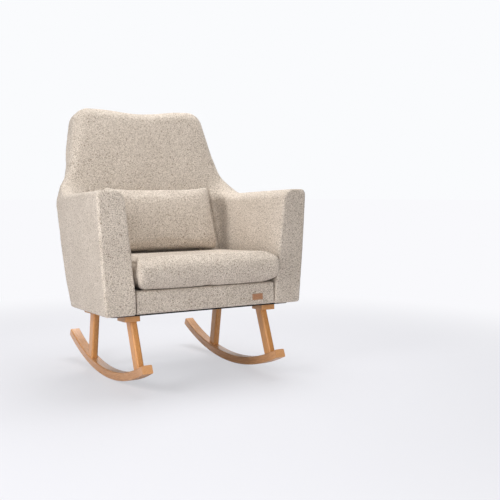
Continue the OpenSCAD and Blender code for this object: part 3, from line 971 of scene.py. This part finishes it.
def wood(name, grain, light, dark, rough=0.36, coat=0.25, ring=1.0, layers=False):
    """Timber with its grain along the x, y or z axis, or along the rockers' arc."""
    n = Nodes(name)
    x, y, z = n.split_co()
    if grain == "arc":
        arc_radius = 0.845              # also the height of the arc's centre
        dz = n.sub(arc_radius, z)
        angle = n.math("ARCTAN2", y, dz)
        from_centre = n.math("SQRT", n.add(n.mul(y, y), n.mul(dz, dz)))
        along, side_a, side_b = n.mul(angle, arc_radius), x, from_centre
    else:
        along, side_a, side_b = {"x": (x, y, z), "y": (y, x, z), "z": (z, x, y)}[grain]

    def stretched(across_scale, along_scale):
        return n.combine(n.mul(side_a, across_scale), n.mul(side_b, across_scale),
                         n.mul(along, along_scale))

    figure = n.noise(stretched(14.0, 1.0), scale=5.0, detail=3.0, rough=0.55, distort=0.6)
    rings = n.math("FRACT", n.mul(figure, 9.0 * ring))
    rings = n.math("ABSOLUTE", n.sub(n.mul(rings, 2.0), 1.0))
    pores = n.noise(stretched(1200.0, 22.0), scale=1.0, detail=2.0, rough=0.6)
    fibre = n.noise(stretched(420.0, 7.0), scale=1.0, detail=4.0, rough=0.6)
    tone = n.add(n.mul(rings, 0.40), n.mul(fibre, 0.60))
    middle = [(a + b) / 2 for a, b in zip(light, dark)]
    colour = n.ramp(tone, [(0.22, linear(dark)), (0.50, linear(middle)), (0.78, linear(light))])
    pore_mask = n.ramp(pores, [(0.60, BLACK), (0.74, WHITE)])
    colour = n.mix(n.mul(pore_mask, 0.38), colour, linear(dark, 0.62))
    if layers:
        # glue lines of 4 mm laminations
        layer = n.math("FRACT", n.mul(side_b, 1 / 0.004))
        lines = n.ramp(layer, [(0.0, WHITE), (0.07, BLACK), (0.93, BLACK), (1.0, WHITE)])
        colour = n.mix(n.mul(lines, 0.30), colour, linear(dark, 0.7))
    # painted highlight: outer edges are a little paler
    geometry = n.new("NewGeometry")
    painted_edge_highlight = n.ramp(geometry.outputs["Pointiness"], [(0.50, BLACK), (0.56, WHITE)])
    wear = n.noise(n.co, scale=16, detail=3.0, rough=0.6)
    height = n.add(n.mul(fibre, 0.5), n.mul(pores, -0.5))
    n.surface({
        "Base Color": n.mix(n.mul(painted_edge_highlight, 0.30), colour, linear(light, 1.08)),
        "Roughness": n.vary(rough - 0.06, wear, 0.14),
        "Coat Weight": coat,
        "Coat Roughness": 0.22,
        "Specular IOR Level": 0.45,
        "Normal": n.bump(height, strength=0.25, distance=0.0003)})
    return n.material


def weave(name, light, dark, pitch, rough, sheen, depth, axes="xz"):
    """Plain woven cloth or tape, with the thread pitch in metres along the two axes."""
    n = Nodes(name)
    co = dict(zip("xyz", n.split_co()))
    waves = [n.math("SINE", n.mul(co[axis], math.pi / pitch)) for axis in axes]
    threads = n.mul(*waves)
    grain = n.noise(n.co, scale=700, detail=2.0, rough=0.6)
    height = n.add(n.mul(n.add(threads, 1.0), 0.4), n.mul(grain, 0.3))
    colour = n.ramp(height, [(0.2, linear(dark)), (0.8, linear(light))])
    patches = n.ramp(n.noise(n.co, scale=12, detail=3.0, rough=0.5),
                     [(0.3, (0.9, 0.9, 0.9, 1)), (0.7, WHITE)])
    n.surface({
        "Base Color": n.mix(1.0, colour, patches, "MULTIPLY"),
        "Roughness": n.vary(rough - 0.05, grain, 0.1),
        "Sheen Weight": sheen,
        "Specular IOR Level": 0.25,
        "Normal": n.bump(height, strength=0.5, distance=depth)})
    return n.material


def foam(name):
    """Open-cell foam: fine pores with a slow yellowing."""
    n = Nodes(name)
    cells = n.voronoi(n.co, scale=620)
    slow = n.noise(n.co, scale=7, detail=3.0, rough=0.5)
    fine = n.noise(n.co, scale=1400, detail=2.0, rough=0.6)
    height = n.add(n.mul(cells, 0.8), n.mul(fine, 0.3))
    colour = n.ramp(height, [(0.15, linear((216, 200, 158))), (0.6, linear((238, 228, 196)))])
    n.surface({
        "Base Color": n.mix(n.mul(slow, 0.35), colour, linear((224, 200, 140))),
        "Roughness": n.vary(0.86, fine, 0.1),
        "Subsurface Weight": 0.08,
        "Normal": n.bump(height, strength=0.6, distance=0.0006)})
    return n.material


def metal(name, tint, rough):
    """Brushed metal with small stains."""
    n = Nodes(name)
    mapping = n.new("Mapping")
    n.put(mapping.inputs["Vector"], n.co)
    mapping.inputs["Scale"].default_value = (900, 60, 900)
    brushed = n.noise(mapping.outputs[0], scale=1.0, detail=3.0, rough=0.6)
    stains = n.noise(n.co, scale=130, detail=4.0, rough=0.6)
    n.surface({
        "Base Color": n.ramp(stains, [(0.30, linear(tint, 0.82)), (0.70, linear(tint))]),
        "Metallic": 1.0,
        "Roughness": n.vary(rough - 0.08, n.add(brushed, stains), 0.14),
        "Normal": n.bump(brushed, strength=0.15, distance=0.0001)})
    return n.material


def leather(name):
    """Smooth tanned leather for the small tab."""
    n = Nodes(name)
    grain = n.voronoi(n.co, scale=900, smoothness=0.5)
    slow = n.noise(n.co, scale=60, detail=3.0, rough=0.5)
    tone = n.add(n.mul(grain, 0.5), n.mul(slow, 0.5))
    n.surface({
        "Base Color": n.ramp(tone, [(0.25, linear((150, 104, 74))),
                                    (0.7, linear((186, 136, 102)))]),
        "Roughness": n.vary(0.45, slow, 0.2),
        "Normal": n.bump(grain, strength=0.4, distance=0.0002)})
    return n.material


def fibre_fill(name):
    """White stranded cushion filling."""
    n = Nodes(name)
    strands = n.noise(n.co, scale=160, detail=5.0, rough=0.7, distort=1.2)
    fine = n.noise(n.co, scale=900, detail=2.0, rough=0.6)
    height = n.add(n.mul(strands, 0.7), n.mul(fine, 0.3))
    n.surface({
        "Base Color": n.ramp(height, [(0.3, linear((222, 222, 224))),
                                      (0.7, linear((248, 248, 248)))]),
        "Roughness": n.vary(0.85, fine, 0.1),
        "Sheen Weight": 0.3,
        "Normal": n.bump(height, strength=0.6, distance=0.0012)})
    return n.material


PINE = dict(light=(236, 208, 160), dark=(208, 168, 112), rough=0.6, coat=0.0, ring=0.7)
BOUCLE = boucle("boucle_cloth")
LEG = wood("timber_leg", "z", light=(216, 156, 96), dark=(180, 118, 62), coat=0.3)
ROCKER = wood("timber_rocker", "arc", light=(216, 162, 112), dark=(182, 126, 80),
              rough=0.34, coat=0.45, layers=True)
BLOCK = wood("timber_block", "y", light=(208, 152, 98), dark=(170, 114, 66))
PINE_ACROSS = wood("frame_pine", "x", **PINE)
PINE_UPRIGHT = wood("frame_pine_upright", "z", **PINE)
PINE_SIDE = wood("frame_pine_side", "y", **PINE)
PANEL = wood("frame_panel_board", "y", light=(222, 192, 146), dark=(194, 156, 108),
             rough=0.7, coat=0.0, ring=1.6)
FOAM = foam("foam_block")
FILLING = fibre_fill("fibre_filling")
DUST_CLOTH = weave("dust_cloth_black", light=(34, 34, 36), dark=(10, 10, 12), pitch=0.0014,
                   rough=0.9, sheen=0.1, depth=0.0003, axes="xy")
DECK = weave("deck_cloth_tan", light=(176, 164, 152), dark=(120, 108, 98), pitch=0.0016,
             rough=0.88, sheen=0.15, depth=0.0003, axes="xy")
WEBBING = weave("elastic_webbing", light=(58, 56, 54), dark=(22, 21, 20), pitch=0.0022,
                rough=0.8, sheen=0.1, depth=0.0005)
ZIP_TAPE = weave("zip_tape", light=(160, 148, 136), dark=(108, 96, 86), pitch=0.0010,
                 rough=0.8, sheen=0.1, depth=0.0002)
STEEL = metal("zinc_steel", tint=(178, 180, 184), rough=0.32)
ZIP_METAL = metal("zip_metal", tint=(196, 186, 168), rough=0.28)
TAB_LEATHER = leather("tab_leather")
THREAD = weave("tab_thread", light=(214, 196, 172), dark=(150, 128, 104), pitch=0.0005,
               rough=0.7, sheen=0.1, depth=0.0001)

# CAD piece name patterns, material, bevel width in mm; the first match counts
CAD_LOOKS = [
    ("rocker_screws leg_bolts block_bolts arm_bolts", STEEL, 0.4),
    ("rocker_*", ROCKER, 2.5),
    ("*leg_block*", BLOCK, 1.5),
    ("*_leg_*", LEG, 1.5),
    ("seat_springs spring_clips back_brackets", STEEL, 0),
    ("base_front_rail base_rear_rail back_middle_rail back_top_rail", PINE_ACROSS, 1.0),
    ("base_* arm_top_rail* arm_bottom_rail*", PINE_SIDE, 1.0),
    ("*side_panel*", PANEL, 0),
    ("*post*", PINE_UPRIGHT, 1.0),
    ("dust_cover", DUST_CLOTH, 0),
    ("deck_cloth", DECK, 0),
    ("back_webbing", WEBBING, 0),
    ("lumbar_filling", FILLING, 0),
    ("*foam* deck_pad", FOAM, 0),
    ("seat_zip lumbar_zip", ZIP_TAPE, 0),
    ("*slider*", ZIP_METAL, 0.4),
    ("*", BOUCLE, 0)]


def paint(obj, material):
    obj.data.materials.clear()
    obj.data.materials.append(material)


def finish_cad_piece(name, obj):
    for patterns, material, bevel_width in CAD_LOOKS:
        if any(fnmatchcase(name, pattern) for pattern in patterns.split()):
            break
    paint(obj, material)
    if bevel_width:
        bevel = obj.modifiers.new("Bevel", "BEVEL")
        bevel.width = bevel_width * MM
        bevel.segments = 2
        bevel.limit_method = "ANGLE"
        bevel.angle_limit = math.radians(50)
        bevel.use_clamp_overlap = True


for name, obj in cad_nodes.items():
    finish_cad_piece(name, obj)
for obj in (arm_left, arm_right, back_part, border, cushion, pillow):
    paint(obj, BOUCLE)
paint(tab, TAB_LEATHER)
paint(dust, DUST_CLOTH)
paint(tab_stitches, THREAD)

# object, the body it rides on, the CAD pieces it replaces, its slot
for obj, carrier, replaced, slot_name in (
        (arm_left, "root", ("arm_cover_left", "arm_foam_left"), "upholstery"),
        (arm_right, "root", ("arm_cover_right", "arm_foam_right"), "upholstery"),
        (back_part, "root", ("back_cover", "back_foam"), "upholstery"),
        (border, "root", ("front_border",), "upholstery"),
        (cushion, "seat_cushion", ("seat_cushion_cover", "seat_cushion_foam"), "upholstery"),
        (pillow, "lumbar_cushion", ("lumbar_cover", "lumbar_filling"), "upholstery"),
        (dust, "root", ("dust_cover",), "dust_cloth"),
        (tab, "root", ("label_tab",), "tab")):
    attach(obj, carrier)
    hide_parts(*replaced)
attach(tab_stitches, "root")


# ---------------------------------------------------------------- stage (metres)
def floor_material():
    """Pale floor that glows for the camera, wholly so away from the chair."""
    floor = (226, 226, 231)
    centre_x, centre_y = -0.05, -0.15
    near_glow = 0.62                    # near the chair the rest is shading, for a pale shadow
    n = Nodes("studio_floor")
    x, y, _ = n.split_co()

    def squared_offset(value, centre):
        return n.mul(n.sub(value, centre), n.sub(value, centre))

    away = n.math("SQRT", n.add(squared_offset(x, centre_x), squared_offset(y, centre_y)))
    soft = n.noise(n.co, scale=2.2, detail=2.0, rough=0.5)
    n.surface({
        "Base Color": n.mix(n.mul(soft, 0.5), linear(floor), linear(floor, 0.985)),
        "Roughness": 0.55,
        "Specular IOR Level": 0.25})
    glow = n.new("Emission")
    ray = n.new("LightPath")
    far = n.new("MapRange")
    far.interpolation_type = "SMOOTHSTEP"
    far.inputs["From Min"].default_value = 0.95
    far.inputs["From Max"].default_value = 2.2
    n.link(away, far.inputs["Value"])
    tint = n.mix(far.outputs[0], linear((236, 236, 240)), linear((249, 249, 252)))
    n.link(tint, glow.inputs[0])
    share = n.vary(near_glow, far.outputs[0], 1 - near_glow)
    mixer = n.new("MixShader")
    n.link(n.mul(share, ray.outputs["Is Camera Ray"]), mixer.inputs[0])
    n.link(n.shader.outputs[0], mixer.inputs[1])
    n.link(glow.outputs[0], mixer.inputs[2])
    n.link(mixer.outputs[0], n.output.inputs[0])
    return n.material


def build_floor(radius=30, sides=64, z=-0.0003):
    """A wide disc just under the rockers."""
    material = floor_material()
    angles = [2 * math.pi * i / sides for i in range(sides)]
    verts = [(0, 0, z)] + [(radius * math.cos(a), radius * math.sin(a), z) for a in angles]
    mesh = bpy.data.meshes.new("studio_floor")
    mesh.from_pydata(verts, [], [[0, 1 + i, 1 + (i + 1) % sides] for i in range(sides)])
    mesh.update()
    obj = new_object("studio_floor", mesh)
    obj.data.materials.append(material)


def area_light(name, place, target, size, energy):
    """A square white area light aimed at the target."""
    light = bpy.data.lights.new(name, "AREA")
    light.shape = "RECTANGLE"
    light.size = light.size_y = size
    light.energy = energy
    light.color = (1, 1, 1)
    obj = new_object(name, light)
    obj.location = place
    aim = Vector(target) - Vector(place)
    obj.rotation_euler = aim.to_track_quat("-Z", "Y").to_euler()


def build_world():
    """White to the camera, but only a faint fill light on the chair."""
    world = bpy.data.worlds.new("studio")
    scene.world = world
    world.use_nodes = True
    tree = world.node_tree
    tree.nodes.clear()
    seen = tree.nodes.new("ShaderNodeBackground")
    cast = tree.nodes.new("ShaderNodeBackground")
    for node, colour, strength in ((seen, linear((250, 251, 253)), 1.0), (cast, WHITE, 0.10)):
        node.inputs[0].default_value = colour
        node.inputs[1].default_value = strength
    path = tree.nodes.new("ShaderNodeLightPath")
    mixer = tree.nodes.new("ShaderNodeMixShader")
    output = tree.nodes.new("ShaderNodeOutputWorld")
    tree.links.new(path.outputs["Is Camera Ray"], mixer.inputs[0])
    tree.links.new(cast.outputs[0], mixer.inputs[1])
    tree.links.new(seen.outputs[0], mixer.inputs[2])
    tree.links.new(mixer.outputs[0], output.inputs[0])


def build_camera(place, yaw, pitch, lens):
    """Yaw turns left from +Y and pitch turns up, in degrees; the lens is in millimetres."""
    data = bpy.data.cameras.new("camera")
    obj = new_object("camera", data)
    yaw, pitch = math.radians(yaw), math.radians(pitch)
    forward = Vector((-math.sin(yaw) * math.cos(pitch), math.cos(yaw) * math.cos(pitch),
                      math.sin(pitch)))
    obj.location = place
    obj.rotation_mode = "QUATERNION"
    obj.rotation_quaternion = forward.to_track_quat("-Z", "Y")
    data.sensor_width = 36
    data.lens = lens
    data.clip_start, data.clip_end = 0.05, 60
    scene.camera = obj


build_floor()
area_light("key_side", place=(-2.6, -0.7, 1.5), target=(0, 0, 0.45), size=1.0, energy=46)
area_light("key_front", place=(-1.05, -2.5, 0.95), target=(0, 0, 0.42), size=1.3, energy=28)
area_light("overhead", place=(0.6, 0.45, 2.9), target=(0, 0, 0.45), size=2.2, energy=95)
area_light("rear_fill", place=(1.6, 3.0, 1.6), target=(0, 0, 0.5), size=2.0, energy=14)
build_world()
scene.view_settings.view_transform = "Standard"
scene.view_settings.look = "None"
scene.view_settings.exposure = 0.0
build_camera(place=(-1.2005, -2.6184, 0.6605), yaw=-30.21, pitch=-4.74, lens=58.3416)
